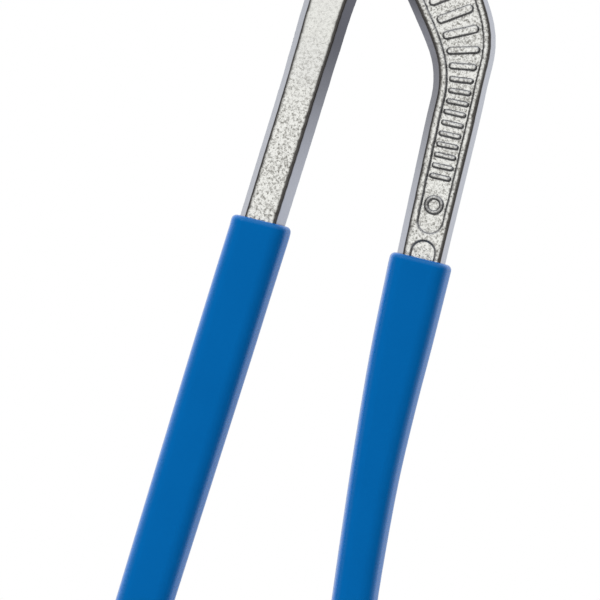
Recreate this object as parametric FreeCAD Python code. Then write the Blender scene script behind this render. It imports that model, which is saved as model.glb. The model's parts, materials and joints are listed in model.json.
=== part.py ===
import FreeCAD, Part
import math
import os

from FreeCAD import Vector

# Tongue and groove pliers, 254 mm long.
# The tool stands upright in the XZ plane: +Z runs from the handles to the jaws, +X is to the
# right of a person facing the front, and the front faces -Y. The two levers meet in a parting
# plane. Everything is laid out from the pivot axis and that plane, and is then moved along Y
# so that the back of the bolt head, which is the face the tool lies on, is at Y = 0.

# Driving dimensions, in millimetres and degrees.
PITCH = 5.0                 # step between two grooves
GROOVES = 7                 # number of pivot positions
REST_GROOVE = 2             # groove the tongue sits in at rest, counted from the upper jaw
SLOT_LEAN = -10.0           # the slot leans this far from straight down, towards -X
JAW_LEAN = 50.0             # the jaws lean this far from straight up, towards -X
ARM_LEAN = 34.3             # the tongue lever's arm leans this far from straight down, towards +X
OPENING = 45.0              # the tongue lever swings open this far
LEVER_T = 6.8               # thickness of one lever at the head
PARTING_GAP = 0.06          # running gap between the two levers
HANDLE_T = 7.8              # thickness of each forged handle bar
SLOTTED_BEVELS = (1.95, 1.95)   # widths of a bar's left and right sloping flanks, from the front
TONGUE_BEVELS = (1.95, 0.95)
HANDLE_END_Z = -206.0       # lowest point of the grips
CORE_END_Z = -203.0         # where the steel ends inside a grip

HEAD_R = 15.5               # round of the tongue lever's head
STEP_R = 16.6               # hollow in the upper jaw that the head turns in
JAW_STEP_R = 18.5           # hollow behind the lower jaw that clears the slotted lever
STRIP_HALF = 11.0           # half the width of the slotted lever beside its slot
STRIP_CLEARANCE = 0.6       # room between that strip and the lower jaw at full opening
JAW_LINE = 4.0              # distance of the closed jaw faces from the pivot
JAW_GAP = 0.1               # gap left between the closed jaws
JAW_TIP = 50.0              # reach of the jaws from the pivot
PIPE_GRIP = (17.0, 36.0)    # stretch of the jaw face that is hollowed for round work
PIPE_GRIP_D = 2.4
PIPE_TEETH = 9
PIPE_TOOTH_D = 1.0
TIP_TEETH = 8
TIP_TEETH_PITCH = 1.6
TIP_TOOTH_D = 0.7
TIP_MARGIN = 0.9            # plain end of the jaw face beyond the last tooth

SLOTTED_LEAN = -3.55        # the plain handle runs straight, at this lean
SLOTTED_TOP = (-5.5, -27.0)     # a point on its centre line
SLOTTED_RAMP = (-44.0, -61.0)   # heights between which it steps from the back layer to the middle
SLOTTED_STEP = -0.75            # it steps sideways by this much over the same heights
TONGUE_RAMP = (-29.0, -47.0)    # the same for the embossed handle

TONGUE_R = 13.0             # radius of the tongue and the grooves about the pivot
TONGUE_W = 2.4
TONGUE_H = 1.6
GROOVE_W = 2.6
GROOVE_D = 1.8
TONGUE_ARC = (99.0, 122.0)  # where the tongue starts and ends, counted from +X
GROOVE_ARC = (62.0, 152.0)

JOURNAL_R = 4.7             # bolt journal in the tongue lever's hole
THREAD_R = 3.98
RUNNING = 0.05              # radial clearance of every running fit
AXIAL_GAP = 0.04            # gap on each side of a washer
NECK_CORNER_R = 3.0
SLOT_OVERRUN = 1.6          # extra slot length, so that the square neck clears its round ends
BOLT_HEAD_R = 10.0
BOLT_HEAD_T = 3.4
WASHER_T = 1.2
WASHER_R = 10.6
SPRING_WASHER_R = 9.0
NUT_FLATS = 14.0
NUT_T = 4.6
BOLT_END = 1.0              # bolt standing out of the nut

RIM_W = 1.6                 # raised rim around the tongue lever's panel
PANEL_D = 0.8
PANEL_TOP_Z = -14.0
PANEL_END_Z = -84.0
LOWER_PANEL_TOP_Z = -88.0   # a second sunk field runs on under the grip
LOWER_PANEL_END_Z = -120.0
ORNAMENT_START = 2.0        # first cross bar, down from the panel's top
ORNAMENT_END_Z = -72.0
ORNAMENT_SHARE = 0.80       # length of a cross bar as a share of the field's width
ORNAMENT_BAR = 0.2          # thickness of a cross bar as a share of its length
ORNAMENT_STEP = 1.0         # spacing as a share of half its length
RING_Z = -77.6
RING_R = 2.15
RING_W = 0.75
GRIP_BEVEL = 2.45
GRIP_COVER_T = 1.5          # grip thickness over the front and back of a bar
GRIP_CORNER_R = 2.0
COLLAR = [(0.0, 0.93), (0.35, 0.98), (1.0, 1.0)]    # depth below a grip's top, and size there
DOME_ANGLES = (25.0, 45.0, 62.0, 76.0)

# Centre lines and widths from the top down: (z, width) for the straight plain handle and its
# grip, (x, z, width) for the curved embossed handle and its grip.
SLOTTED_WIDTHS = [(-30.0, 12.9), (-37.0, 12.0), (-44.0, 11.8), (-52.0, 11.5), (-61.0, 11.3),
                  (-91.0, 11.1), (CORE_END_Z, 9.9)]
SLOTTED_GRIP = [(-91.1, 14.9), (-122.0, 14.8), (-150.0, 14.4), (-185.0, 13.9), (-200.0, 13.6)]
TONGUE_PATH = [
    (3.4, -5.0, 19.9),
    (11.3, -16.5, 19.0),
    (20.8, -29.8, 17.4),
    (26.35, -38.9, 16.2),
    (28.35, -48.8, 12.8),
    (28.7, -60.0, 12.5),
    (29.1, -86.0, 11.8),
    (29.4, -98.0, 11.4),
    (29.9, -128.0, 9.4),
    (31.9, -160.0, 8.4),
    (36.4, CORE_END_Z, 8.2),
]
TONGUE_GRIP = [
    (29.3, -90.5, 15.3),
    (29.6, -110.0, 14.5),
    (29.95, -124.5, 13.4),
    (30.75, -142.0, 12.1),
    (32.1, -160.0, 11.4),
    (33.5, -175.0, 11.2),
    (36.3, -200.0, 11.8),
]
BAR_STEPS = 5               # sections of a bar between two points of its path

EPS = 0.001
FAR = 100.0
Y_AXIS = Vector(0, 1, 0)
BACK_FACE_Y = LEVER_T + WASHER_T + BOLT_HEAD_T + 2 * AXIAL_GAP


def down(lean):
    """Unit vector pointing down, leaning towards +X by lean degrees."""
    angle = math.radians(lean)
    return Vector(math.sin(angle), 0, -math.cos(angle))


def across(direction):
    """Direction turned a quarter turn anticlockwise, as seen from the front."""
    return Vector(-direction.z, 0, direction.x)


def polar(radius, degrees):
    angle = math.radians(degrees)
    return Vector(radius * math.cos(angle), 0, radius * math.sin(angle))


SLOT_DOWN = down(SLOT_LEAN)
SLOT_RIGHT = across(SLOT_DOWN)
ARM_DOWN = down(ARM_LEAN)
ARM_RIGHT = across(ARM_DOWN)
JAW_ALONG = polar(1.0, 90.0 + JAW_LEAN)
JAW_ACROSS = polar(1.0, JAW_LEAN)


def pivot_at(groove):
    """Pivot centre when the tongue is in the given groove."""
    return SLOT_DOWN * ((groove - REST_GROOVE) * PITCH)


FIRST_PIVOT = pivot_at(0)
REST_PIVOT = pivot_at(REST_GROOVE)
LAST_PIVOT = pivot_at(GROOVES - 1)


def jaw(pivot, along, height):
    """Point measured along the jaw faces and square to them, from a pivot centre."""
    return pivot + JAW_ALONG * along + JAW_ACROSS * height


def rounded(corners):
    """Closed wire through (point, radius) corners in one plane, each turned by an arc."""
    count = len(corners)
    turns = []
    for i, (corner, radius) in enumerate(corners):
        back = (corners[i - 1][0] - corner).normalize()
        ahead = (corners[(i + 1) % count][0] - corner).normalize()
        half = back.getAngle(ahead) / 2
        if radius <= 0:
            turns.append((corner, corner, None))
            continue
        reach = radius / math.tan(half)
        centre = corner + (back + ahead).normalize() * (radius / math.sin(half))
        middle = centre + (corner - centre).normalize() * radius
        first = corner + back * reach
        last = corner + ahead * reach
        turns.append((first, last, Part.Arc(first, middle, last).toShape()))
    edges = []
    for i, (first, last, arc) in enumerate(turns):
        if arc:
            edges.append(arc)
        edges.append(Part.makeLine(last, turns[(i + 1) % count][0]))
    return Part.Wire(edges)


def slab(wire, y_front, y_back):
    """Solid between two planes, with the wire as its outline."""
    face = Part.Face(wire)
    face.translate(Vector(0, y_front, 0))
    return face.extrude(Vector(0, y_back - y_front, 0))


def disc(centre, radius, y_front, y_back):
    return Part.makeCylinder(radius, y_back - y_front, centre + Y_AXIS * y_front, Y_AXIS)


def stadium(first, last, radius, y_front, y_back):
    """Round-ended bar between two points."""
    side = across((last - first).normalize()) * radius
    box = Part.makePolygon([first + side, last + side, last - side, first - side, first + side])
    ends = [disc(point, radius, y_front, y_back) for point in (first, last)]
    return slab(box, y_front, y_back).multiFuse(ends).removeSplitter()


def ring_sector(centre, inner, outer, arc, y_front, y_back):
    """Part of a flat ring about centre, between two angles counted from +X."""
    start, end = arc
    middle = (start + end) / 2
    outer_arc = [centre + polar(outer, a) for a in (start, middle, end)]
    inner_arc = [centre + polar(inner, a) for a in (end, middle, start)]
    wire = Part.Wire([
        Part.Arc(*outer_arc).toShape(),
        Part.makeLine(outer_arc[-1], inner_arc[0]),
        Part.Arc(*inner_arc).toShape(),
        Part.makeLine(inner_arc[-1], outer_arc[0]),
    ])
    return slab(wire, y_front, y_back)


# ---------------------------------------------------------------- forged bars and their grips

def ramp(z, top, bottom):
    """Goes smoothly from 0 above top to 1 below bottom."""
    t = max(0.0, min(1.0, (top - z) / (top - bottom)))
    return t * t * (3 - 2 * t)


def smooth(values, span, t):
    """Catmull-Rom value between the span-th value and the next."""
    a = values[max(span - 1, 0)]
    b = values[span]
    c = values[span + 1]
    d = values[min(span + 2, len(values) - 1)]
    curve = 2 * b + (c - a) * t + (2 * a - 5 * b + 4 * c - d) * t * t
    return 0.5 * (curve + (3 * b - a - 3 * c + d) * t ** 3)


def stations(path, steps):
    """Centre, right-hand vector and width at even steps along a path of (x, z, width)."""
    found = []
    for span in range(len(path) - 1):
        for step in range(steps):
            t = step / steps
            found.append([smooth([p[i] for p in path], span, t) for i in range(3)])
    found.append(list(path[-1]))
    result = []
    for i, (x, z, width) in enumerate(found):
        before = found[max(i - 1, 0)]
        after = found[min(i + 1, len(found) - 1)]
        along = Vector(after[0] - before[0], 0, after[1] - before[1]).normalize()
        result.append((Vector(x, 0, z), across(along), width))
    return result


def bar_section(centre, right, width, planes, bevels):
    """Six-sided section: flat front and back, with two sloping flanks on each side."""
    front, back = planes
    middle = (front + back) / 2
    left_flat = bevels[0] - width / 2
    right_flat = width / 2 - bevels[1]
    ring = [(left_flat, front), (right_flat, front), (width / 2, middle),
            (right_flat, back), (left_flat, back), (-width / 2, middle)]
    points = [centre + right * s + Y_AXIS * y for s, y in ring]
    return Part.makePolygon(points + points[:1])


def forged_bar(path, faces, bevels):
    """Bar through a path's stations; faces(z) gives its front and back planes."""
    sections = []
    for centre, right, width in stations(path, BAR_STEPS):
        sections.append(bar_section(centre, right, width, faces(centre.z), bevels))
    return Part.makeLoft(sections, True, True)


def rounded_section(centre, right, width, thickness, shrink):
    """Section of a dipped grip: the bar's six-sided shape with well rounded corners."""
    half_w = width / 2 * shrink
    half_t = thickness / 2 * shrink
    flat = half_w - GRIP_BEVEL * shrink
    ring = [(-flat, -half_t), (flat, -half_t), (half_w, 0), (flat, half_t), (-flat, half_t), (-half_w, 0)]
    return rounded([(centre + right * s + Y_AXIS * y, GRIP_CORNER_R * shrink) for s, y in ring])


def grip(path, steps, bar):
    """Dipped sleeve over a bar, open at its square top and closed by a rounded end."""
    thickness = HANDLE_T + 2 * GRIP_COVER_T
    spots = stations(path, steps)
    sections = []
    first, right, width = spots[0]
    for depth, shrink in COLLAR:
        centre = first + Vector(0, 0, -depth)
        sections.append(rounded_section(centre, right, width, thickness, shrink))
    for centre, right, width in spots[1:]:
        sections.append(rounded_section(centre, right, width, thickness, 1.0))
    end, right, width = spots[-1]
    dome = end.z - HANDLE_END_Z
    for angle in DOME_ANGLES:
        drop = dome * math.sin(math.radians(angle))
        centre = end + Vector(0, 0, -drop)
        shrink = math.cos(math.radians(angle))
        sections.append(rounded_section(centre, right, width, thickness, shrink))
    sleeve = Part.makeLoft(sections, True, True)
    return sleeve.cut(bar)


# ------------------------------------------------------------------------------------- jaws

def tooth_notch(point, inward, half_width, depth):
    """Vee cut through the full width of a jaw face."""
    side = across(inward) * half_width
    mouth = point - inward * 0.2
    triangle = Part.makePolygon([mouth + side, point + inward * depth, mouth - side, mouth + side])
    return slab(triangle, -LEVER_T - 1, LEVER_T + 1)


def jaw_cutters(pivot, face, upward):
    """Hollow and teeth to cut from a jaw face; upward is 1 for the upper jaw, -1 for the lower."""
    start, end = PIPE_GRIP
    half = (end - start) / 2
    radius = (half ** 2 + PIPE_GRIP_D ** 2) / (2 * PIPE_GRIP_D)
    centre = jaw(pivot, start + half, face + upward * (PIPE_GRIP_D - radius))
    cutters = [disc(centre, radius, -LEVER_T - 1, LEVER_T + 1)]
    inward = JAW_ACROSS * upward
    spread = math.degrees(math.asin(half / radius))
    step = 2 * spread / PIPE_TEETH
    for i in range(PIPE_TEETH):
        turn = FreeCAD.Rotation(Y_AXIS, -spread + step * (i + 0.5))
        ray = turn.multVec(inward)
        width = math.radians(step) * radius / 2
        cutters.append(tooth_notch(centre + ray * radius, ray, width, PIPE_TOOTH_D))
    for i in range(TIP_TEETH):
        along = JAW_TIP - TIP_MARGIN - TIP_TEETH_PITCH * (i + 0.5)
        cutters.append(tooth_notch(jaw(pivot, along, face), inward, TIP_TEETH_PITCH / 2, TIP_TOOTH_D))
    return cutters


# ---------------------------------------------------------------------------- slotted lever

def slotted_point(z):
    """Point on the plain handle's centre line."""
    x, top = SLOTTED_TOP
    step = SLOTTED_STEP * (1 - ramp(z, *SLOTTED_RAMP))
    return Vector(x + step - math.tan(math.radians(SLOTTED_LEAN)) * (z - top), 0, z)


def slotted_path(heights_and_widths):
    return [(slotted_point(z).x, z, width) for z, width in heights_and_widths]


def slotted_faces(z):
    share = ramp(z, *SLOTTED_RAMP)
    half = HANDLE_T / 2
    return -half * share, LEVER_T + (half - LEVER_T) * share


def strip_edge(side, height):
    """Point on the side edge of the slotted strip, a height above the rest pivot."""
    return SLOT_RIGHT * (side * STRIP_HALF) - SLOT_DOWN * height


def upper_jaw_back():
    """Corners from behind the pivot over the back of the upper jaw to its tip."""
    return [
        (jaw(FIRST_PIVOT, -6.0, 14.5), 16.0),
        (jaw(FIRST_PIVOT, 13.0, 19.5), 20.0),
        (jaw(FIRST_PIVOT, 36.0, 14.5), 40.0),
        (jaw(FIRST_PIVOT, JAW_TIP + 0.4, 9.0), 2.5),
        (jaw(FIRST_PIVOT, JAW_TIP, JAW_LINE), 0.5),
    ]


def slotted_head():
    """Flat, slotted half of the joint with the upper jaw, in the back layer."""
    low = slotted_point(-36.0)
    neck = slotted_point(-32.0)
    corners = [
        (low + Vector(3.8, 0, 0), 0),
        (neck + Vector(6.0, 0, 0), 6.0),
        (strip_edge(1, -23.0), 12.0),
        (strip_edge(1, 6.0), 14.0),
    ]
    corners += upper_jaw_back()
    corners += [
        (jaw(FIRST_PIVOT, 15.1, JAW_LINE), 1.5),
        (strip_edge(-1, -24.0), 16.0),
        (neck - Vector(6.0, 0, 0), 6.0),
        (low - Vector(3.8, 0, 0), 0),
    ]
    return slab(rounded(corners), 0, LEVER_T)


def upper_jaw_block():
    """Front half of the upper jaw, hollowed so that the other lever's head turns in it."""
    corners = [(jaw(FIRST_PIVOT, 12.0, JAW_LINE), 0), (jaw(FIRST_PIVOT, -8.0, 8.0), 0)]
    corners += upper_jaw_back()
    block = slab(rounded(corners), -LEVER_T, 0)
    return block.cut(disc(FIRST_PIVOT, STEP_R, -LEVER_T - 1, 0))


def slotted_bar():
    return forged_bar(slotted_path(SLOTTED_WIDTHS), slotted_faces, SLOTTED_BEVELS)


def slotted_lever(bar):
    lever = bar.multiFuse([slotted_head(), upper_jaw_block()])
    over = SLOT_DOWN * SLOT_OVERRUN
    slot = stadium(FIRST_PIVOT - over, LAST_PIVOT + over, JOURNAL_R + RUNNING, -1, LEVER_T + 1)
    cutters = [slot]
    for groove in range(GROOVES):
        cutters.append(ring_sector(pivot_at(groove), TONGUE_R - GROOVE_W / 2, TONGUE_R + GROOVE_W / 2,
                                   GROOVE_ARC, -1, GROOVE_D))
    cutters += jaw_cutters(FIRST_PIVOT, JAW_LINE, 1)
    return lever.cut(cutters).removeSplitter()


# ----------------------------------------------------------------------------- tongue lever

def tongue_faces(z):
    share = ramp(z, *TONGUE_RAMP)
    half = HANDLE_T / 2
    return -LEVER_T + (LEVER_T - half) * share, -PARTING_GAP + (half + PARTING_GAP) * share


def tongue_head():
    """Round head and lower jaw, in the front layer."""
    tangents = (-10.0, 118.0)
    turn = (tangents[1] - tangents[0]) / 2
    crown = polar(HEAD_R / math.cos(math.radians(turn)), sum(tangents) / 2)
    face = JAW_LINE - JAW_GAP
    arm = REST_PIVOT + ARM_DOWN * 24.0
    corners = [
        (arm + ARM_RIGHT * 7.3, 0),
        (REST_PIVOT + ARM_DOWN * 12.5 + ARM_RIGHT * 9.5, 5.0),
        (crown, HEAD_R),
        (jaw(REST_PIVOT, 15.14, face), 1.2),
        (jaw(REST_PIVOT, JAW_TIP, face), 0.5),
        (jaw(REST_PIVOT, JAW_TIP + 0.5, -1.5), 2.5),
        (jaw(REST_PIVOT, 38.0, -7.0), 30.0),
        (jaw(REST_PIVOT, 18.5, -13.0), 14.0),
        (REST_PIVOT - ARM_DOWN * 1.5 - ARM_RIGHT * 10.4, 12.0),
        (arm - ARM_RIGHT * 7.3, 0),
    ]
    return rounded(corners)


def field_spots():
    """Centre, right-hand vector and half width of the sunk field at stations down the lever."""
    left, right_bevel = TONGUE_BEVELS
    spots = []
    for centre, right, width in stations(TONGUE_PATH, BAR_STEPS):
        flat = width - left - right_bevel
        spots.append((centre + right * ((left - right_bevel) / 2), right, flat / 2 - RIM_W))
    return spots


def panel_cutter(spots, round_spots):
    """Space to clear for a sunk field along the lever, with round ends at the given spots."""
    sections = []
    for centre, right, half in spots:
        front = tongue_faces(centre.z)[0]
        box = [(-half, front + PANEL_D), (half, front + PANEL_D), (half, front - 4), (-half, front - 4)]
        points = [centre + right * s + Y_AXIS * y for s, y in box]
        sections.append(Part.makePolygon(points + points[:1]))
    cutter = Part.makeLoft(sections, True, True)
    for centre, right, half in round_spots:
        front = tongue_faces(centre.z)[0]
        cutter = cutter.fuse(disc(centre, half, front - 4, front + PANEL_D))
    return cutter


def between(first, second, share):
    """Spot part of the way from one spot to the next."""
    centre = first[0] + (second[0] - first[0]) * share
    right = (first[1] + (second[1] - first[1]) * share).normalize()
    return centre, right, first[2] + (second[2] - first[2]) * share


def along_lever(spots, length):
    """Spot at a length down the lever from its first spot."""
    for here, there in zip(spots, spots[1:]):
        gap = here[0].distanceToPoint(there[0])
        if length <= gap:
            return between(here, there, length / gap)
        length -= gap
    return spots[-1]


def at_height(spots, z):
    """Spot at a height above the foot of the lever."""
    for here, there in zip(spots, spots[1:]):
        if here[0].z >= z > there[0].z:
            return between(here, there, (here[0].z - z) / (here[0].z - there[0].z))
    return spots[-1]


def panel_ornament(spots):
    """Row of raised cross bars that get smaller down the lever, to stand in the sunk field."""
    raised = []
    length = ORNAMENT_START
    while True:
        centre, right, half = along_lever(spots, length)
        if centre.z < ORNAMENT_END_Z:
            return raised
        half_bar = ORNAMENT_SHARE * half
        thick = half_bar * ORNAMENT_BAR
        end = right * (half_bar - thick)
        raised.append(stadium(centre - end, centre + end, thick, -20, 0))
        length += half_bar * ORNAMENT_STEP


def lever_panels(spots):
    """Cutter for both sunk panels, with the ornament and the small ring left standing."""
    upper = [s for s in spots if PANEL_END_Z < s[0].z < PANEL_TOP_Z]
    lower = [s for s in spots if LOWER_PANEL_END_Z < s[0].z < LOWER_PANEL_TOP_Z]
    cutter = panel_cutter(upper, [upper[0], upper[-1]])
    cutter = cutter.fuse(panel_cutter(lower, [lower[0]]))
    standing = panel_ornament(upper)
    ring = at_height(spots, RING_Z)[0]
    standing.append(disc(ring, RING_R, -20, 0).cut(disc(ring, RING_R - RING_W, -21, 1)))
    return cutter.cut(standing)


def jaw_side():
    """Space beyond the slotted strip's edge, where that edge stands when the jaws are fully open."""
    away = polar(1.0, 180.0 + SLOT_LEAN - OPENING)
    side = across(away) * FAR
    near = REST_PIVOT + away * (STRIP_HALF + STRIP_CLEARANCE)
    far = near + away * FAR
    return slab(Part.makePolygon([near - side, far - side, far + side, near + side, near - side]),
                -1, LEVER_T + 1)


def tongue_bar():
    return forged_bar(TONGUE_PATH, tongue_faces, TONGUE_BEVELS)


def tongue_lever(bar):
    outline = tongue_head()
    front = slab(outline, -LEVER_T, -PARTING_GAP)
    back_jaw = slab(outline, -PARTING_GAP, LEVER_T).common(jaw_side())
    back_jaw = back_jaw.cut(disc(REST_PIVOT, JAW_STEP_R, -1, LEVER_T + 1))
    tongue = ring_sector(REST_PIVOT, TONGUE_R - TONGUE_W / 2, TONGUE_R + TONGUE_W / 2,
                         TONGUE_ARC, -1.0, TONGUE_H)
    lever = bar.multiFuse([front, back_jaw, tongue])
    cutters = [disc(REST_PIVOT, JOURNAL_R + RUNNING, -LEVER_T - 1, 1)]
    cutters += jaw_cutters(REST_PIVOT, JAW_LINE - JAW_GAP, -1)
    cutters.append(lever_panels(field_spots()))
    return lever.cut(cutters).removeSplitter()


# -------------------------------------------------------------------------------- pivot set

def pivot_bolt():
    """Round flat head at the back, square neck for the slot, journal, thread and staked end."""
    head_y = LEVER_T + WASHER_T + 2 * AXIAL_GAP
    head = disc(REST_PIVOT, BOLT_HEAD_R, head_y, head_y + BOLT_HEAD_T)
    rims = [e for e in head.Edges if abs(e.BoundBox.YMin - BACK_FACE_Y) < EPS and e.BoundBox.YLength < EPS]
    head = head.makeChamfer(0.8, rims)
    square = [(REST_PIVOT + SLOT_RIGHT * (a * JOURNAL_R) + SLOT_DOWN * (b * JOURNAL_R), NECK_CORNER_R)
              for a, b in ((1, 1), (1, -1), (-1, -1), (-1, 1))]
    neck = slab(rounded(square), 0.2, head_y)
    journal = disc(REST_PIVOT, JOURNAL_R, -LEVER_T, 0.2)
    end_y = -LEVER_T - WASHER_T - NUT_T - 2 * AXIAL_GAP - BOLT_END
    thread = disc(REST_PIVOT, THREAD_R, end_y, -LEVER_T)
    tip = [e for e in thread.Edges if abs(e.BoundBox.YMax - end_y) < EPS]
    thread = thread.makeChamfer(0.6, tip)
    return head.multiFuse([neck, journal, thread]).removeSplitter()


def slide_washer():
    ring = disc(REST_PIVOT, WASHER_R, LEVER_T + AXIAL_GAP, LEVER_T + AXIAL_GAP + WASHER_T)
    hole = JOURNAL_R * math.sqrt(2) - NECK_CORNER_R * (math.sqrt(2) - 1) + RUNNING
    return ring.cut(disc(REST_PIVOT, hole, 0, 2 * LEVER_T))


def spring_washer():
    """Shallow cone that keeps the joint tight under the nut."""
    back = -LEVER_T - AXIAL_GAP
    cone = Part.makeCone(SPRING_WASHER_R - 2.0, SPRING_WASHER_R, WASHER_T, Vector(0, back - WASHER_T, 0), Y_AXIS)
    return cone.cut(disc(REST_PIVOT, THREAD_R + RUNNING, -3 * LEVER_T, 0))


def pivot_nut():
    front = -LEVER_T - WASHER_T - 2 * AXIAL_GAP - NUT_T
    corners = [polar(NUT_FLATS / math.sqrt(3), 60 * i + 30) for i in range(7)]
    prism = slab(Part.makePolygon(corners), front, front + NUT_T)
    crown = NUT_FLATS / 2 + 0.2
    slope = 1.6
    cone = Part.makeCone(crown, crown + slope * NUT_T, NUT_T, Vector(0, front, 0), Y_AXIS)
    return prism.common(cone).cut(disc(REST_PIVOT, THREAD_R + 0.02, -4 * LEVER_T, 0))


def main():
    os.makedirs("parts", exist_ok=True)
    plain_bar = slotted_bar()
    embossed_bar = tongue_bar()
    pieces = {
        "slotted_lever": slotted_lever(plain_bar),
        "tongue_lever": tongue_lever(embossed_bar),
        "slotted_grip": grip(slotted_path(SLOTTED_GRIP), 2, plain_bar),
        "tongue_grip": grip(TONGUE_GRIP, 3, embossed_bar),
        "pivot_bolt": pivot_bolt(),
        "slide_washer": slide_washer(),
        "spring_washer": spring_washer(),
        "pivot_nut": pivot_nut(),
    }
    for name, shape in pieces.items():
        shape.translate(Vector(0, -BACK_FACE_Y, 0))
        shape.exportStep(f"parts/{name}.step")
        print(name, shape.isValid(), len(shape.Solids), round(shape.Volume, 1))


main()
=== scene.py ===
import bpy
import json
import math
import numpy as np
from mathutils import Matrix, Vector, noise
from mathutils.bvhtree import BVHTree


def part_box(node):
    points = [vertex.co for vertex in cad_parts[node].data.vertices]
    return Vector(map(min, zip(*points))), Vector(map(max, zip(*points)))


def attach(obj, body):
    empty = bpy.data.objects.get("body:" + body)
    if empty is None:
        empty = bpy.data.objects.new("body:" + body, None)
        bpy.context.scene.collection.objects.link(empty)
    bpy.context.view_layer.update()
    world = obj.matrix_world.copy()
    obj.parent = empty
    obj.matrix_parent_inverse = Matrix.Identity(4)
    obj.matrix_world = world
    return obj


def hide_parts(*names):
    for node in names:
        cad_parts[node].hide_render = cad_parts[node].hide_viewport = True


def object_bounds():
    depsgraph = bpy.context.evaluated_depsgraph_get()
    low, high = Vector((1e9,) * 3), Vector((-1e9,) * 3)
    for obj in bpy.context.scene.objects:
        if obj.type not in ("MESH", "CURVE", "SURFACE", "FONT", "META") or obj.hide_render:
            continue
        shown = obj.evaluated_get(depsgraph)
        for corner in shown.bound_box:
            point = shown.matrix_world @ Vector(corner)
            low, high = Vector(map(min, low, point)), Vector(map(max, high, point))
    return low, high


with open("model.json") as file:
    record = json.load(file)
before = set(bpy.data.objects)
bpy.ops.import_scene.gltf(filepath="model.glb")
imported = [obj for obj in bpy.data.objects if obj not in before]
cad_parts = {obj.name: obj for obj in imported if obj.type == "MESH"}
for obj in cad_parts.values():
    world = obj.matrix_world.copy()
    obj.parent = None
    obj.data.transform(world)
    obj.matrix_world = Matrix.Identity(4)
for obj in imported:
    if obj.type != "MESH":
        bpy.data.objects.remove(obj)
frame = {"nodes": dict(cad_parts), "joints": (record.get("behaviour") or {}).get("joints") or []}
CAD_LOW, CAD_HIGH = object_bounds()

MM = 0.001
NODES = frame["nodes"]

# Places worked out from the frame.
PIVOT = Vector(next(j["pos_m"] for j in frame["joints"] if j["name"] == "jaw_opening"))
FLOOR_Z = CAD_LOW.z - 20 * MM      # low enough for the handle that slides down

# Forged levers: node, the body it rides on, and the sign of X on the flank that faces the other.
LEVERS = (
    ("slotted_lever", "slotted_side", 1),
    ("tongue_lever", "tongue_side", -1),
)
VOXEL = 0.2 * MM
SKIN_FACING = 0.80          # a face that looks this squarely forwards or back keeps its forged skin
WALL_FACING = 0.12          # a face that looks less forwards than this is an upright wall
SKIN_SINK = 0.06            # mean depth of the forged skin below the CAD face, in mm
SKIN_PASSES = 2             # how far the skin blends into its surroundings, in mesh steps
EDGE_PASSES = 7             # and the dark line along its edge
LUMP_COARSE = (2.6, 0.03)   # size and height of the skin's large lumps, in mm
LUMP_FINE = (0.8, 0.05)     # and of its small ones
LUMP_SHIFT = Vector((7, 3, 5))      # keeps the small lumps apart from the large ones
LINE_DARK = 9               # strength of the painted shade line along the edge of a forged face
LINE_RIGHT = 5              # more painted shade along right edges, away from the light
LINE_LOW = 10               # less painted shade along edges that look up, and more along those that look down
LINE_LEAST = 5
LINE_CREASE = 4             # strength of the painted shade line at the foot of an upright wall
CREASE_LIT = 0.85           # share of that painted shade lost where the wall looks up
INNER_SPREAD = 1.3          # a flank counts as fully inner before it looks straight across
SHADE_TOP = PIVOT.z - 42 * MM       # the painted shade on the flanks that face each other is darkest here
SHADE_END = PIVOT.z - 86 * MM
SHADE_FADE = PIVOT.z - 30 * MM      # the painted shade fades out again from here up
SHADE_HEAD = PIVOT.z - 12 * MM      # and is gone above here
ROUGH_TOP = PIVOT.z - 38 * MM       # the plain handle's skin is smooth above here
ROUGH_END = PIVOT.z - 66 * MM       # and fully pebbled below here

# Dipped grips: node, the lever inside it, and the body it rides on.
GRIPS = (
    ("slotted_grip", "slotted_lever", "slotted_side"),
    ("tongue_grip", "tongue_lever", "tongue_side"),
)
GRIP_SPOKES = 72
GRIP_RING_STEP = 1.2 * MM
GRIP_INNER_EVERY = 4        # the inside of a grip needs only one ring in this many
GRIP_ROUND = 3.9 * MM       # round of the six-sided section's corners
GRIP_ROUND_SHARE = 0.7      # and at most this share of a half width
GRIP_SLOPE = 0.25           # how far a flank leans in for each step towards the front
GRIP_DOME = 6.0 * MM        # height of the closed, rounded end
GRIP_SHOULDER = 1.3 * MM    # round at the open end
GRIP_FIT = 0.03 * MM        # room between the grip and the steel
SHOULDER_TURNS = (0, 22.5, 45, 67.5, 90)
DOME_TURNS = range(8, 90, 8)

PIVOT_NODES = ("pivot_bolt", "pivot_nut", "slide_washer", "spring_washer")

# Colours, as linear red, green, blue and alpha.
SKIN_SMOOTH = (0.82, 0.82, 0.775, 1)
SKIN_PEBBLED = (0.89, 0.89, 0.84, 1)
SKIN_STAIN = (0.17, 0.16, 0.135, 1)
FLANK_BRIGHT = (0.46, 0.48, 0.535, 1)
# painted shade of the flanks that face each other
FLANK_PAINTED_SHADE = (0.138, 0.141, 0.166, 1)
# painted shade along edges and in creases
EDGE_PAINTED_SHADE = (0.045, 0.04, 0.036, 1)
STEEL_GREY = (0.60, 0.60, 0.62, 1)
STEEL_PALE = (0.74, 0.74, 0.74, 1)
# painted shade in the corners of the pivot steel
STEEL_PAINTED_SHADE = (0.12, 0.12, 0.12, 1)
VINYL_DEEP = (0.0010, 0.077, 0.246, 1)
VINYL_CLEAR = (0.0012, 0.086, 0.270, 1)
# painted rim highlight of the grips
VINYL_PAINTED_RIM_SHEEN = (0.004, 0.112, 0.39, 1)
VINYL_SHINE = (0.50, 0.78, 1.0, 1)
FLOOR_GREY = (0.86, 0.86, 0.86, 1)
FLOOR_MIRRORED = (0.98, 0.98, 1.0, 1)
SKY_MIRRORED = (0.95, 0.95, 0.97, 1)
WHITE = (1, 1, 1, 1)


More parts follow.
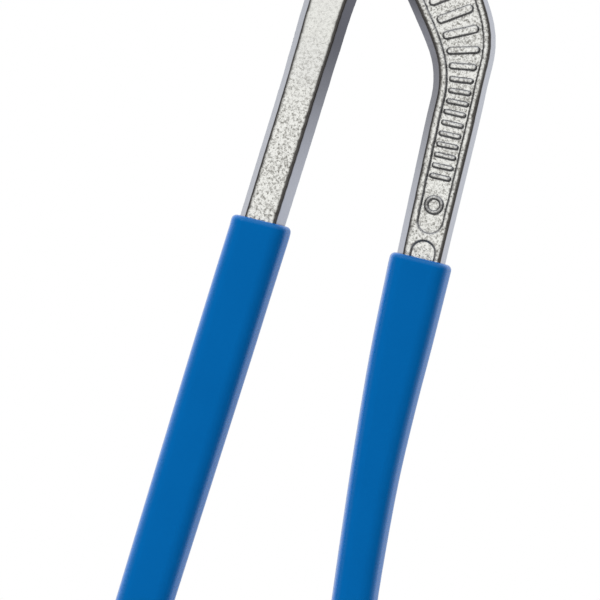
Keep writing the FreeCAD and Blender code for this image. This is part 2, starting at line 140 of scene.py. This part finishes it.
# ------------------------------------------------------------------------------ mesh helpers

def link(name, mesh):
    piece = bpy.data.objects.new(name, mesh)
    bpy.context.scene.collection.objects.link(piece)
    return piece


def vertex_array(mesh, attribute="co"):
    values = np.zeros(len(mesh.vertices) * 3, np.float32)
    mesh.vertices.foreach_get(attribute, values)
    return values.reshape(-1, 3).astype(float)


def place_vertices(mesh, points):
    mesh.vertices.foreach_set("co", points.astype(np.float32).ravel())


def cad_tree(node):
    """Search tree over a CAD node's surface."""
    mesh = NODES[node].data
    points = [v.co.copy() for v in mesh.vertices]
    faces = [tuple(p.vertices) for p in mesh.polygons]
    return BVHTree.FromPolygons(points, faces)


def remeshed(node, name):
    """Even mesh of a CAD node's shape."""
    piece = link(name, NODES[node].data.copy())
    remesh = piece.modifiers.new("remesh", "REMESH")
    remesh.mode = "VOXEL"
    remesh.voxel_size = VOXEL
    remesh.adaptivity = 0.0
    graph = bpy.context.evaluated_depsgraph_get()
    mesh = bpy.data.meshes.new_from_object(piece.evaluated_get(graph))
    piece.modifiers.clear()
    piece.data = mesh
    return piece


def smoothed(values, edges, passes):
    """Averages a value over each vertex and its neighbours, a few times."""
    count = len(values)
    a, b = edges[:, 0], edges[:, 1]
    degree = np.bincount(a, minlength=count) + np.bincount(b, minlength=count) + 1.0
    for _ in range(passes):
        total = values + np.bincount(a, values[b], count) + np.bincount(b, values[a], count)
        values = total / degree
    return values


def grid_faces(rings, spokes):
    """Quads between closed rings of the same number of points."""
    faces = []
    for ring in range(rings - 1):
        a, b = ring * spokes, (ring + 1) * spokes
        for i in range(spokes):
            j = (i + 1) % spokes
            faces.append((a + i, a + j, b + j, b + i))
    return faces


def set_attribute(mesh, name, values):
    attribute = mesh.attributes.new(name, "FLOAT", "POINT")
    attribute.data.foreach_set("value", values.astype(np.float32))


def edge_array(mesh):
    edges = np.zeros(len(mesh.edges) * 2, np.int64)
    mesh.edges.foreach_get("vertices", edges)
    return edges.reshape(-1, 2)


# ------------------------------------------------------------------------------ forged levers

def project_on_cad(points, node, inner_side):
    """Moves points onto a CAD node's surface, and reads how each place faces.

    Gives how squarely it looks forwards or back, how far it looks up, how far it looks at the
    other handle, and the strength of the painted edge shade there.
    """
    tree = cad_tree(node)
    facing = np.zeros(len(points))
    rising = np.zeros(len(points))
    inner = np.zeros(len(points))
    strength = np.zeros(len(points))
    for i, point in enumerate(points):
        place, normal, _, _ = tree.find_nearest(Vector(point))
        points[i] = place
        facing[i] = abs(normal.y)
        rising[i] = max(normal.z, 0.0)
        inner[i] = min(max(INNER_SPREAD * normal.x * inner_side, 0.0), 1.0)
        strength[i] = max(LINE_DARK + LINE_RIGHT * normal.x - LINE_LOW * normal.z, LINE_LEAST)
    return facing, rising, inner, strength


def skin_and_line(facing, rising, strength, edges):
    """Shares of forged skin and of painted edge and crease shade at each point."""
    front = (facing > SKIN_FACING).astype(float)
    wall = (facing < WALL_FACING).astype(float)
    skin = smoothed(front, edges, SKIN_PASSES)
    wide_skin = smoothed(front, edges, EDGE_PASSES)
    # painted shade in the crease at the foot of an upright wall, less where the wall looks up
    crease = smoothed(wall * (1 - CREASE_LIT * rising), edges, SKIN_PASSES)
    # painted shade along the edges of the forged faces, stronger on right and downward-looking edges
    painted_edge_shade = wide_skin * smoothed((1 - front - wall) * strength, edges, EDGE_PASSES)
    line = np.clip(painted_edge_shade, 0, 1) + LINE_CREASE * skin * crease
    return skin, np.clip(line, 0, 1)


def flank_shade(heights):
    """Painted shade on the flanks by height: it fades out towards the grips and towards the head."""
    shade = np.clip((heights - SHADE_END) / (SHADE_TOP - SHADE_END), 0, 1)
    shade = shade * shade * (3 - 2 * shade)
    shade *= np.clip((SHADE_HEAD - heights) / (SHADE_HEAD - SHADE_FADE), 0, 1)
    return shade


def forged_lumps(point):
    """Height of the forged skin at a point, in metres, never above the CAD face."""
    coarse = noise.noise(point / (LUMP_COARSE[0] * MM))
    fine = noise.noise(point / (LUMP_FINE[0] * MM) + LUMP_SHIFT)
    return min(LUMP_COARSE[1] * coarse + LUMP_FINE[1] * fine - SKIN_SINK, 0) * MM


def forged_lever(node, body, inner_side):
    """Lever with its as-forged skin on the faces that look forwards and back, and ground sides."""
    piece = remeshed(node, node + "_forging")
    mesh = piece.data
    points = vertex_array(mesh)
    facing, rising, inner, strength = project_on_cad(points, node, inner_side)
    edges = edge_array(mesh)
    skin, line = skin_and_line(facing, rising, strength, edges)
    shade = flank_shade(points[:, 2])
    for axis in range(3):
        points[:, axis] = smoothed(points[:, axis], edges, 1)
    place_vertices(mesh, points)
    mesh.update()
    normals = vertex_array(mesh, "normal")
    lumps = np.array([forged_lumps(Vector(p)) for p in points])
    points += normals * (lumps * skin)[:, None]
    place_vertices(mesh, points)
    set_attribute(mesh, "skin", skin)
    set_attribute(mesh, "line", line)
    # painted shade on the flanks that look at the other handle
    set_attribute(mesh, "shade", shade * smoothed(inner, edges, SKIN_PASSES))
    mesh.shade_smooth()
    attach(piece, body)
    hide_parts(node)
    return piece


# ------------------------------------------------------------------------------ dipped grips

def span(tree, start, way):
    """First point of a surface met from a start point."""
    return tree.ray_cast(Vector(start), Vector(way))[0]


def grip_section(tree, y, z):
    """Centre and half sizes of a grip at a height."""
    left = span(tree, (CAD_LOW.x - 1, y, z), (1, 0, 0))
    right = span(tree, (CAD_HIGH.x + 1, y, z), (-1, 0, 0))
    x = (left.x + right.x) / 2
    front = span(tree, (x, CAD_LOW.y - 1, z), (0, 1, 0))
    back = span(tree, (x, CAD_HIGH.y + 1, z), (0, -1, 0))
    return Vector((x, (front.y + back.y) / 2, z)), (right.x - left.x) / 2, (back.y - front.y) / 2


def section_ring(centre, half_x, half_y, z):
    """Ring of points on a six-sided section with well rounded corners."""
    bend = min(GRIP_ROUND, half_x * GRIP_ROUND_SHARE, half_y * GRIP_ROUND_SHARE)
    side = half_x - bend
    front = half_y - bend
    flat = side - GRIP_SLOPE * front
    corners = [(side, 0), (flat, front), (-flat, front), (-side, 0), (-flat, -front), (flat, -front)]
    ring = []
    for i in range(GRIP_SPOKES):
        angle = 2 * math.pi * (i + 0.5) / GRIP_SPOKES
        c, s = math.cos(angle), math.sin(angle)
        x, y = max(corners, key=lambda corner: corner[0] * c + corner[1] * s)
        ring.append(Vector((centre.x + x + bend * c, centre.y + y + bend * s, z)))
    return ring


def inner_ring(tree, centre, outer):
    """Ring that follows the steel inside a grip, seen from the centre towards each outer point."""
    ring = []
    for point in outer:
        way = (point - centre).normalized()
        met = span(tree, centre, way)
        ring.append(met + way * GRIP_FIT)
    return ring


def shoulder_rings(section, top):
    """Rounded shoulder at the open end, from the mouth outwards."""
    centre, half_x, half_y = section
    rings = []
    for turn in SHOULDER_TURNS:
        angle = math.radians(turn)
        inset = GRIP_SHOULDER * (1 - math.sin(angle))
        z = top - GRIP_SHOULDER * (1 - math.cos(angle))
        rings.append(section_ring(centre, half_x - inset, half_y - inset, z))
    return rings


def dome_rings(section, start):
    """Domed closed end, from the side downwards."""
    centre, half_x, half_y = section
    rings = []
    for turn in DOME_TURNS:
        angle = math.radians(turn)
        shrink = math.cos(angle)
        z = start - GRIP_DOME * math.sin(angle)
        rings.append(section_ring(centre, half_x * shrink, half_y * shrink, z))
    return rings


def inside_rings(steel, sections, steel_end, top):
    """Wall around the steel, from the closed bottom up to the mouth."""
    inside = []
    for centre, half_x, half_y in sections[::GRIP_INNER_EVERY]:
        if centre.z > steel_end:
            inside.append(inner_ring(steel, centre, section_ring(centre, half_x, half_y, centre.z)))
    mouth = [Vector((p.x, p.y, top)) for p in inside[0]]
    bottom = [Vector((p.x, p.y, steel_end - 3 * GRIP_FIT)) for p in inside[-1]]
    return [bottom] + inside[::-1] + [mouth]


def dipped_grip(node, lever, body):
    """Smooth closed sleeve: shoulder at the open end, rounded sides and a domed closed end."""
    tree = cad_tree(node)
    low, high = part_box(node)
    y = (low.y + high.y) / 2
    first = high.z - 2 * GRIP_SHOULDER
    last = low.z + GRIP_DOME
    count = int((first - last) / GRIP_RING_STEP)
    sections = [grip_section(tree, y, first + (last - first) * i / count) for i in range(count + 1)]
    steel_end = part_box(lever)[0].z + 2 * GRIP_FIT
    rings = inside_rings(cad_tree(lever), sections, steel_end, high.z)
    rings += shoulder_rings(sections[0], high.z)
    rings += [section_ring(centre, half_x, half_y, centre.z) for centre, half_x, half_y in sections]
    rings += dome_rings(sections[-1], last)
    verts = [tuple(p) for ring in rings for p in ring]
    faces = grid_faces(len(rings), GRIP_SPOKES)
    faces.append(tuple(range(GRIP_SPOKES)))
    faces.append(tuple(range(len(verts) - 1, len(verts) - 1 - GRIP_SPOKES, -1)))
    mesh = bpy.data.meshes.new(node + "_dip")
    mesh.from_pydata(verts, [], faces)
    mesh.validate()
    mesh.shade_smooth()
    piece = link(node + "_dip", mesh)
    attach(piece, body)
    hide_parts(node)
    return piece


# ------------------------------------------------------------------------------ materials

class Nodes:
    """Short way to build a node material."""

    def __init__(self, name):
        self.material = bpy.data.materials.new(name)
        self.material.use_nodes = True
        self.tree = self.material.node_tree
        self.shader = self.tree.nodes["Principled BSDF"]

    def add(self, kind, inputs=None, **settings):
        node = self.tree.nodes.new(kind)
        for key, value in settings.items():
            setattr(node, key, value)
        for key, value in (inputs or {}).items():
            self.put(node.inputs[key], value)
        return node

    def put(self, socket, value):
        if isinstance(value, bpy.types.NodeSocket):
            self.tree.links.new(value, socket)
        else:
            socket.default_value = value

    def math(self, operation, a, b, clamp=False):
        node = self.add("ShaderNodeMath", {0: a, 1: b}, operation=operation, use_clamp=clamp)
        return node.outputs[0]

    def mix(self, share, a, b):
        """Colour from a to b."""
        node = self.add("ShaderNodeMix", data_type="RGBA")
        self.put(node.inputs["Factor"], share)
        self.put(node.inputs["A"], a)
        self.put(node.inputs["B"], b)
        return node.outputs["Result"]

    def blend(self, share, a, b):
        """Number from a to b."""
        node = self.add("ShaderNodeMix", data_type="FLOAT")
        self.put(node.inputs[0], share)
        self.put(node.inputs[2], a)
        self.put(node.inputs[3], b)
        return node.outputs[0]

    def scale(self, value, low, high, to_low=0.0, to_high=1.0):
        """Clamped change of range, from low..high to to_low..to_high."""
        node = self.add("ShaderNodeMapRange", {"Value": value, "From Min": low, "From Max": high,
                                               "To Min": to_low, "To Max": to_high})
        return node.outputs[0]

    def noise(self, size_mm, detail, roughness=0.5, stretch=(1, 1, 1)):
        """Noise with features of about the given size, in the object's own space."""
        place = self.add("ShaderNodeTexCoord").outputs["Object"]
        mapping = self.add("ShaderNodeMapping", {"Vector": place, "Scale": stretch}).outputs[0]
        return self.add("ShaderNodeTexNoise", {
            "Vector": mapping, "Scale": 1.0 / (size_mm * MM), "Detail": detail, "Roughness": roughness,
        }).outputs["Fac"]

    def attribute(self, name):
        return self.add("ShaderNodeAttribute", attribute_name=name).outputs["Fac"]

    def bump(self, height, distance_mm, strength, normal=None):
        node = self.add("ShaderNodeBump", {"Height": height, "Distance": distance_mm * MM,
                                           "Strength": strength})
        if normal:
            self.put(node.inputs["Normal"], normal)
        return node.outputs[0]

    def surface(self, **inputs):
        for key, value in inputs.items():
            self.put(self.shader.inputs[key.replace("_", " ")], value)
        return self.material


def plated_forging():
    """Bright plating over a pebbled forged skin; smooth, slightly brushed ground flanks."""
    m = Nodes("plated_forging")
    skin = m.attribute("skin")
    line = m.attribute("line")
    rough = m.attribute("rough")
    pebble = m.noise(0.62, 2.0, 0.6)
    grit = m.noise(0.33, 1.5, 0.5)
    height = m.math("ADD", m.math("MULTIPLY", pebble, 0.6), m.math("MULTIPLY", grit, 0.4))
    brushed = m.noise(0.25, 2.0, 0.5, stretch=(1.0, 1.0, 0.04))
    ground = m.bump(brushed, 0.01, 0.35)
    forged = m.bump(height, 0.24, m.math("MULTIPLY", skin, m.scale(rough, 0, 1, 0.35, 1.0)))
    normal = m.add("ShaderNodeMix", data_type="VECTOR")
    m.put(normal.inputs["Factor"], skin)
    m.put(normal.inputs["A"], ground)
    m.put(normal.inputs["B"], forged)
    hollow = m.scale(height, 0.55, 0.37)
    stained = m.math("MULTIPLY", hollow, m.scale(rough, 0, 1, 0.15, 0.8))
    bright = m.mix(rough, SKIN_SMOOTH, SKIN_PEBBLED)
    skin_colour = m.mix(stained, bright, SKIN_STAIN)
    # painted shade on the flanks that face each other
    flank_colour = m.mix(m.attribute("shade"), FLANK_BRIGHT, FLANK_PAINTED_SHADE)
    colour = m.mix(skin, flank_colour, skin_colour)
    # painted shade along edges and in creases
    colour = m.mix(m.math("MULTIPLY", line, 0.95, True), colour, EDGE_PAINTED_SHADE)
    roughness = m.blend(skin, 0.30, m.blend(hollow, 0.24, 0.5))
    return m.surface(Base_Color=colour, Metallic=1.0, Roughness=roughness,
                     Normal=normal.outputs["Result"])


def pivot_steel():
    """Turned and plated steel of the bolt, nut and washers, softened at edges, with painted shade in
    corners.
    """
    m = Nodes("pivot_steel")
    edge = m.add("ShaderNodeBevel", {"Radius": 0.25 * MM}, samples=6).outputs[0]
    turned = m.noise(0.5, 3.0, 0.6)
    normal = m.bump(turned, 0.02, 0.5, edge)
    tone = m.mix(m.noise(4.0, 3.0), STEEL_GREY, STEEL_PALE)
    open_air = m.add("ShaderNodeAmbientOcclusion", {"Distance": 1.6 * MM}, samples=8).outputs["AO"]
    # painted shade where the steel is closed in by other parts
    tone = m.mix(m.scale(open_air, 0.45, 0.9), STEEL_PAINTED_SHADE, tone)
    roughness = m.scale(m.noise(1.5, 4.0), 0.3, 0.7, 0.2, 0.36)
    return m.surface(Base_Color=tone, Metallic=1.0, Roughness=roughness, Normal=normal)


def dipped_vinyl():
    """Semi-gloss blue dipped grip, faintly wavy, with painted paler rims where it turns from view, and
    shine on what looks up.
    """
    m = Nodes("dipped_vinyl")
    waves = m.noise(9.0, 1.0, 0.4, stretch=(1, 1, 0.5))
    specks = m.noise(0.7, 2.0, 0.5)
    normal = m.bump(specks, 0.002, 0.2, m.bump(waves, 0.5, 0.35))
    tone = m.mix(m.noise(14.0, 2.0), VINYL_DEEP, VINYL_CLEAR)
    roughness = m.scale(specks, 0.3, 0.7, 0.26, 0.30)
    facing = m.add("ShaderNodeLayerWeight", {"Blend": 0.5}).outputs["Facing"]
    normal_way = m.add("ShaderNodeNewGeometry").outputs["Normal"]
    upward = m.add("ShaderNodeSeparateXYZ", {0: normal_way}).outputs["Z"]
    rim_gloss = m.scale(facing, 0.16, 0.6, 0.0, 0.75)
    top_gloss = m.scale(upward, 0.15, 0.6, 0.0, 0.6)
    gloss = m.math("MAXIMUM", rim_gloss, top_gloss)
    # painted highlight on the rims, paler where the surface turns away from view
    tone_with_painted_rim = m.mix(m.scale(facing, 0.3, 0.7), tone, VINYL_PAINTED_RIM_SHEEN)
    return m.surface(Base_Color=tone_with_painted_rim, Roughness=roughness, Normal=normal, IOR=1.5,
                     Specular_IOR_Level=gloss, Specular_Tint=VINYL_SHINE)


def paint(piece, material):
    piece.data.materials.clear()
    piece.data.materials.append(material)


# ------------------------------------------------------------------------------ build

def roughness_of_skin(node, heights):
    """Share of full pebbling: everywhere on the tongue lever, from the ramp down on the other."""
    if node == "tongue_lever":
        return np.ones(len(heights))
    return np.clip((ROUGH_TOP - heights) / (ROUGH_TOP - ROUGH_END), 0, 1)


def build_levers(material):
    for node, body, inner_side in LEVERS:
        lever = forged_lever(node, body, inner_side)
        heights = vertex_array(lever.data)[:, 2]
        set_attribute(lever.data, "rough", roughness_of_skin(node, heights))
        paint(lever, material)


def build():
    build_levers(plated_forging())
    steel = pivot_steel()
    for node in PIVOT_NODES:
        paint(NODES[node], steel)
    vinyl = dipped_vinyl()
    for node, lever, body in GRIPS:
        paint(dipped_grip(node, lever, body), vinyl)


# ------------------------------------------------------------------------------ stage

CAMERA_DISTANCE = 0.70
CAMERA_YAW = 8.5            # degrees towards +X
CAMERA_PITCH = 1.5          # degrees down
CAMERA_ROLL = 13.75         # degrees about the line of sight
SENSOR_WIDTH = 36.0         # mm
VIEW_CENTRE = PIVOT + Vector((3.7, 0, -106.7)) * MM
VIEW_WIDTH = 141.2 * MM

FLOOR_RINGS = 24
FLOOR_SPOKES = 96
FLOOR_REACH = 6.0           # radius of the floor, in metres
FLOOR_FADE = (0.06, 0.19)   # the floor turns from lit to plain white between these radii
FLOOR_MIRROR = (0.06, 0.28, 0.15, 1.0)      # and brightens in reflections between these

# Brightness of the surroundings in reflections, by how far back one looks: 0 is front, 1 is back.
SURROUNDINGS = (
    (0.0, 1.0),
    (0.10, 0.95),
    (0.16, 0.25),
    (0.30, 0.04),
    (0.44, 0.12),
    (0.58, 0.85),
    (0.80, 0.90),
    (1.0, 1.1),
)
SKY_RISE = (0.15, 0.5)      # the sky takes over between these heights of the line of sight

# Lights: name, place from the middle of the tool, size in metres and power in watts.
LIGHTS = (
    ("key_light", (-0.7, -0.9, 0.7), (0.6, 0.6), 16.0),
    ("fill_light", (0.8, -0.7, 0.2), (0.4, 0.8), 1.0),
    ("rim_light", (0.3, 0.9, 0.6), (0.7, 0.4), 5.0),
)


def build_camera():
    data = bpy.data.cameras.new("camera")
    data.sensor_width = SENSOR_WIDTH
    data.lens = data.sensor_width * CAMERA_DISTANCE / VIEW_WIDTH
    camera = bpy.data.objects.new("camera", data)
    bpy.context.scene.collection.objects.link(camera)
    yaw, pitch = math.radians(CAMERA_YAW), math.radians(CAMERA_PITCH)
    back = Vector((math.sin(yaw) * math.cos(pitch), -math.cos(yaw) * math.cos(pitch), math.sin(pitch)))
    camera.location = VIEW_CENTRE + back * CAMERA_DISTANCE
    turn = (-back).to_track_quat("-Z", "Y").to_matrix().to_4x4()
    roll = Matrix.Rotation(math.radians(CAMERA_ROLL), 4, "Z")
    camera.matrix_world = Matrix.Translation(camera.location) @ turn @ roll
    data.clip_start = 0.01
    data.clip_end = 50.0
    bpy.context.scene.camera = camera


def floor_mesh():
    """Round sheet whose rings get wider outwards."""
    verts = [(0, 0, 0)]
    for ring in range(1, FLOOR_RINGS + 1):
        radius = FLOOR_REACH * (ring / FLOOR_RINGS) ** 2
        for spoke in range(FLOOR_SPOKES):
            angle = 2 * math.pi * spoke / FLOOR_SPOKES
            verts.append((radius * math.cos(angle), radius * math.sin(angle), 0))
    faces = [(0, 1 + i, 1 + (i + 1) % FLOOR_SPOKES) for i in range(FLOOR_SPOKES)]
    for ring in range(1, FLOOR_RINGS):
        a, b = 1 + (ring - 1) * FLOOR_SPOKES, 1 + ring * FLOOR_SPOKES
        for i in range(FLOOR_SPOKES):
            j = (i + 1) % FLOOR_SPOKES
            faces.append((a + i, b + i, b + j, a + j))
    mesh = bpy.data.meshes.new("floor")
    mesh.from_pydata(verts, [], faces)
    return mesh


def floor_material():
    """Lit grey near the tool, plain white further out, and a soft glow in reflections."""
    m = Nodes("floor")
    place = m.add("ShaderNodeTexCoord").outputs["Object"]
    radius = m.add("ShaderNodeVectorMath", {0: place}, operation="LENGTH").outputs["Value"]
    fade = m.add("ShaderNodeMapRange", {"Value": radius, "From Min": FLOOR_FADE[0],
                                        "From Max": FLOOR_FADE[1]},
                 interpolation_type="SMOOTHSTEP").outputs[0]
    m.surface(Base_Color=FLOOR_GREY, Roughness=0.6)
    white = m.add("ShaderNodeEmission", {"Color": WHITE, "Strength": 1.0})
    glow = m.scale(radius, *FLOOR_MIRROR)
    soft = m.add("ShaderNodeEmission", {"Color": FLOOR_MIRRORED, "Strength": glow})
    camera_ray = m.add("ShaderNodeLightPath").outputs["Is Camera Ray"]
    far = m.add("ShaderNodeMixShader", {0: camera_ray, 1: soft.outputs[0], 2: white.outputs[0]})
    glossy_ray = m.add("ShaderNodeLightPath").outputs["Is Glossy Ray"]
    share = m.math("MAXIMUM", fade, glossy_ray)
    whole = m.add("ShaderNodeMixShader", {0: share, 1: m.shader.outputs[0], 2: far.outputs[0]})
    m.tree.links.new(whole.outputs[0], m.tree.nodes["Material Output"].inputs["Surface"])
    return m.material


def build_floor():
    """Pale floor that fades into the white surroundings."""
    floor = link("floor", floor_mesh())
    floor.location = (PIVOT.x, PIVOT.y, FLOOR_Z)
    floor.data.materials.append(floor_material())


def fill_ramp(ramp, stops):
    """Greys of a colour ramp, from pairs of position and brightness."""
    elements = ramp.elements
    while len(elements) > 1:
        elements.remove(elements[-1])
    elements[0].position = stops[0][0]
    elements[0].color = (stops[0][1],) * 3 + (1,)
    for position, value in stops[1:]:
        element = elements.new(position)
        element.color = (value, value, value, 1)


def build_world():
    """White for the camera; bright front, dark shoulders and pale sides for reflections."""
    world = bpy.data.worlds.new("studio")
    bpy.context.scene.world = world
    world.use_nodes = True
    tree = world.node_tree
    tree.nodes.clear()

    def add(kind, **settings):
        node = tree.nodes.new(kind)
        for key, value in settings.items():
            setattr(node, key, value)
        return node

    place = add("ShaderNodeTexCoord")
    split = add("ShaderNodeSeparateXYZ")
    tree.links.new(place.outputs["Generated"], split.inputs[0])
    ramp = add("ShaderNodeValToRGB")
    shift = add("ShaderNodeMapRange")
    shift.inputs["From Min"].default_value = -1
    shift.inputs["From Max"].default_value = 1
    tree.links.new(split.outputs["Y"], shift.inputs["Value"])
    tree.links.new(shift.outputs[0], ramp.inputs[0])
    fill_ramp(ramp.color_ramp, SURROUNDINGS)
    sky = add("ShaderNodeMapRange", interpolation_type="SMOOTHSTEP")
    sky.inputs["From Min"].default_value = SKY_RISE[0]
    sky.inputs["From Max"].default_value = SKY_RISE[1]
    tree.links.new(split.outputs["Z"], sky.inputs["Value"])
    mixed = add("ShaderNodeMix", data_type="RGBA")
    mixed.inputs["B"].default_value = SKY_MIRRORED
    tree.links.new(sky.outputs[0], mixed.inputs["Factor"])
    tree.links.new(ramp.outputs[0], mixed.inputs["A"])
    studio = add("ShaderNodeBackground")
    tree.links.new(mixed.outputs["Result"], studio.inputs["Color"])
    white = add("ShaderNodeBackground")
    white.inputs["Color"].default_value = WHITE
    camera_ray = add("ShaderNodeLightPath")
    mix = add("ShaderNodeMixShader")
    tree.links.new(camera_ray.outputs["Is Camera Ray"], mix.inputs[0])
    tree.links.new(studio.outputs[0], mix.inputs[1])
    tree.links.new(white.outputs[0], mix.inputs[2])
    output = add("ShaderNodeOutputWorld")
    tree.links.new(mix.outputs[0], output.inputs[0])


def soft_light(name, place, aim, size, power):
    data = bpy.data.lights.new(name, "AREA")
    data.shape = "RECTANGLE"
    data.size, data.size_y = size
    data.energy = power
    light = bpy.data.objects.new(name, data)
    bpy.context.scene.collection.objects.link(light)
    light.location = place
    light.rotation_mode = "QUATERNION"
    light.rotation_quaternion = (aim - place).to_track_quat("-Z", "Y")
    light.visible_camera = False
    light.visible_glossy = False


def build_lights():
    centre = (CAD_LOW + CAD_HIGH) / 2
    for name, place, size, power in LIGHTS:
        soft_light(name, centre + Vector(place), centre, size, power)


build()
build_world()
build_lights()
build_floor()
build_camera()
bpy.context.scene.view_settings.view_transform = "Standard"
